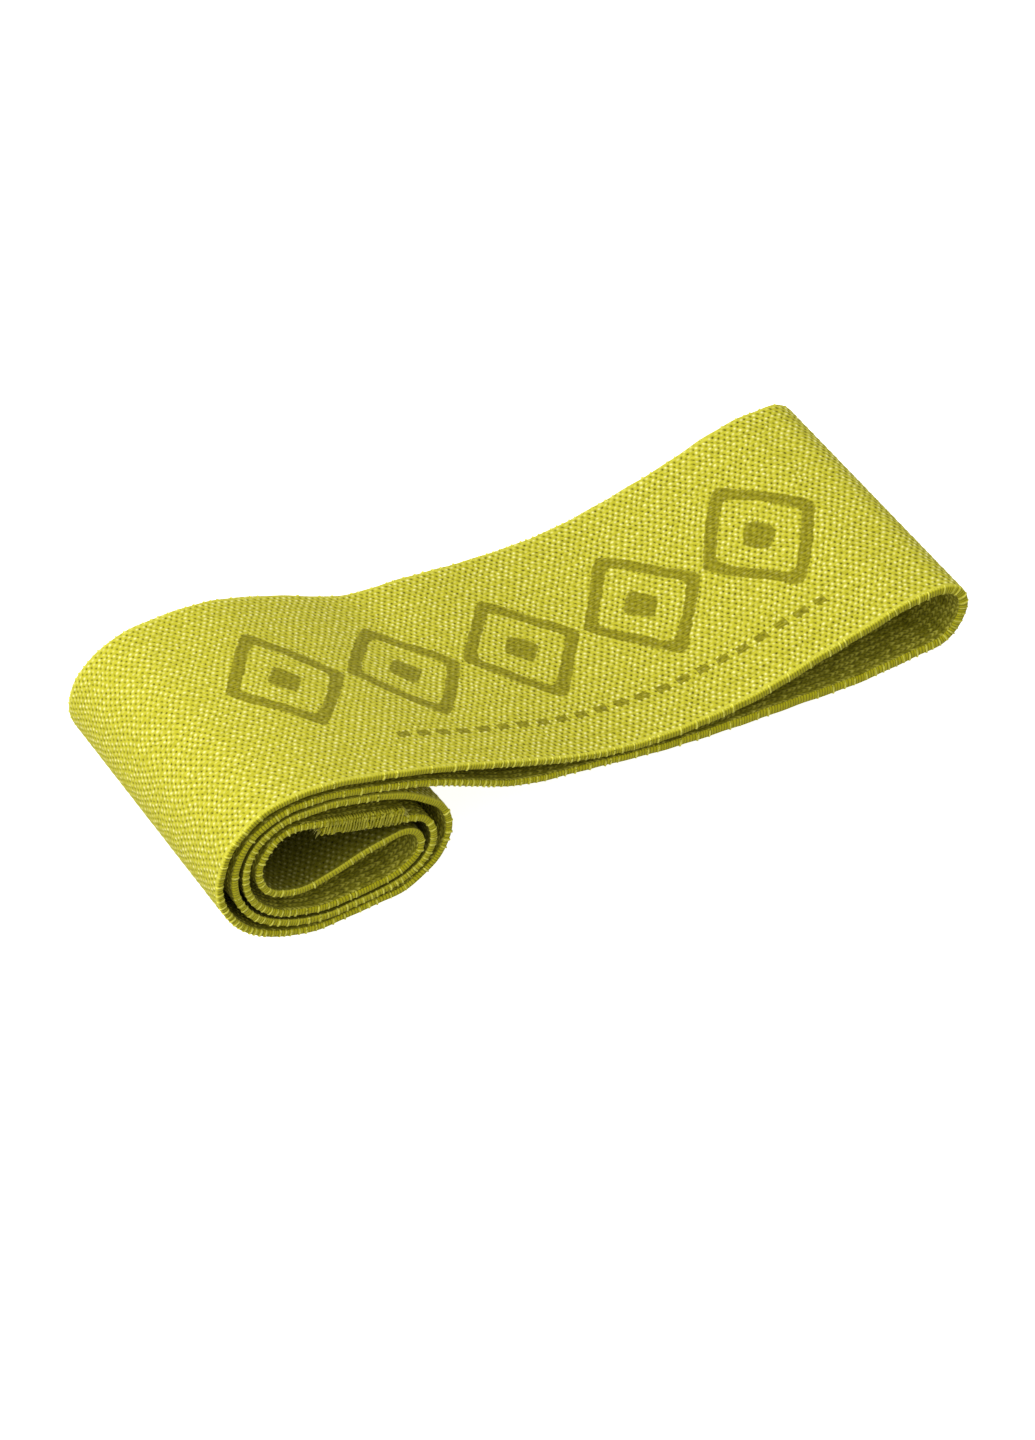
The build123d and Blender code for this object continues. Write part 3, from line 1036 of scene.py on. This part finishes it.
# ---- Floor, light and camera ----
bpy.ops.mesh.primitive_plane_add(size=6)
floor = bpy.context.object
floor.name = "floor"
paper = bpy.data.materials.new("paper")
paper.use_nodes = True
for setting, value in {
    "Base Color": (0.93, 0.93, 0.93, 1),
    "Roughness": 0.9,
    "Emission Color": (1, 1, 1, 1),
    "Emission Strength": 0.88,
}.items():
    paper.node_tree.nodes["Principled BSDF"].inputs[setting].default_value = value
floor.data.materials.append(paper)
floor.visible_diffuse = False  # the floor is white, but its light doesn't reach the band


def area_light(name, place, size, power):
    """A round soft light that points at the middle of the scene."""
    light = bpy.data.lights.new(name, "AREA")
    light.shape = "DISK"
    light.size = size
    light.energy = power
    lamp = bpy.data.objects.new(name, light)
    lamp.location = place
    lamp.rotation_euler = (-Vector(place)).to_track_quat("-Z", "Y").to_euler()
    bpy.context.scene.collection.objects.link(lamp)


area_light("key_light", (-0.8, 0.1, 0.72), 0.9, 6.0)

# The sky is brightest overhead and to the back left, and dim from the front and below
SKY_BRIGHTEST = (-0.25, 0.3, 0.92)
SKY_RAMP = (-0.25, 0.9, 0.32, 1.03)  # from and to, of the facing and of the strength
world = bpy.data.worlds.new("studio")
bpy.context.scene.world = world
world.use_nodes = True
sky = world.node_tree
direction = sky.nodes.new("ShaderNodeTexCoord")
facing = sky.nodes.new("ShaderNodeVectorMath")
facing.operation = "DOT_PRODUCT"
facing.inputs[1].default_value = Vector(SKY_BRIGHTEST).normalized()
strength = sky.nodes.new("ShaderNodeMapRange")
for socket, value in zip(strength.inputs[1:5], SKY_RAMP):
    socket.default_value = value
sky.links.new(direction.outputs["Generated"], facing.inputs[0])
sky.links.new(facing.outputs["Value"], strength.inputs[0])
sky.links.new(strength.outputs[0], sky.nodes["Background"].inputs["Strength"])
sky.nodes["Background"].inputs["Color"].default_value = (1, 1, 1, 1)
bpy.context.scene.view_settings.view_transform = "Standard"

CAMERA_AZIMUTH = math.radians(-27.512)
CAMERA_ELEVATION = math.radians(43.814)
CAMERA_ROLL = math.radians(-4.48)
CAMERA_DISTANCE = 1.0
CAMERA_LENS = 164.3
CAMERA_SENSOR = 36.0
# How far the frame's middle lies from the origin, metres
AIM_RIGHT = 0.000547
AIM_UP = 0.002288

ahead = Vector(
    (
        -math.sin(CAMERA_AZIMUTH) * math.cos(CAMERA_ELEVATION),
        math.cos(CAMERA_AZIMUTH) * math.cos(CAMERA_ELEVATION),
        -math.sin(CAMERA_ELEVATION),
    )
)
level = Vector((math.cos(CAMERA_AZIMUTH), math.sin(CAMERA_AZIMUTH), 0))
upright = level.cross(ahead)
right = level * math.cos(CAMERA_ROLL) + upright * math.sin(CAMERA_ROLL)
up = -level * math.sin(CAMERA_ROLL) + upright * math.cos(CAMERA_ROLL)
camera_data = bpy.data.cameras.new("camera")
camera_data.sensor_fit = "VERTICAL"
camera_data.sensor_height = CAMERA_SENSOR
camera_data.lens = CAMERA_LENS
camera_data.dof.use_dof = False
camera = bpy.data.objects.new("camera", camera_data)
turned = Matrix((right, up, -ahead)).transposed().to_4x4()
stands = -AIM_RIGHT * right - AIM_UP * up - CAMERA_DISTANCE * ahead
camera.matrix_world = Matrix.Translation(stands) @ turned
bpy.context.scene.collection.objects.link(camera)
bpy.context.scene.camera = camera
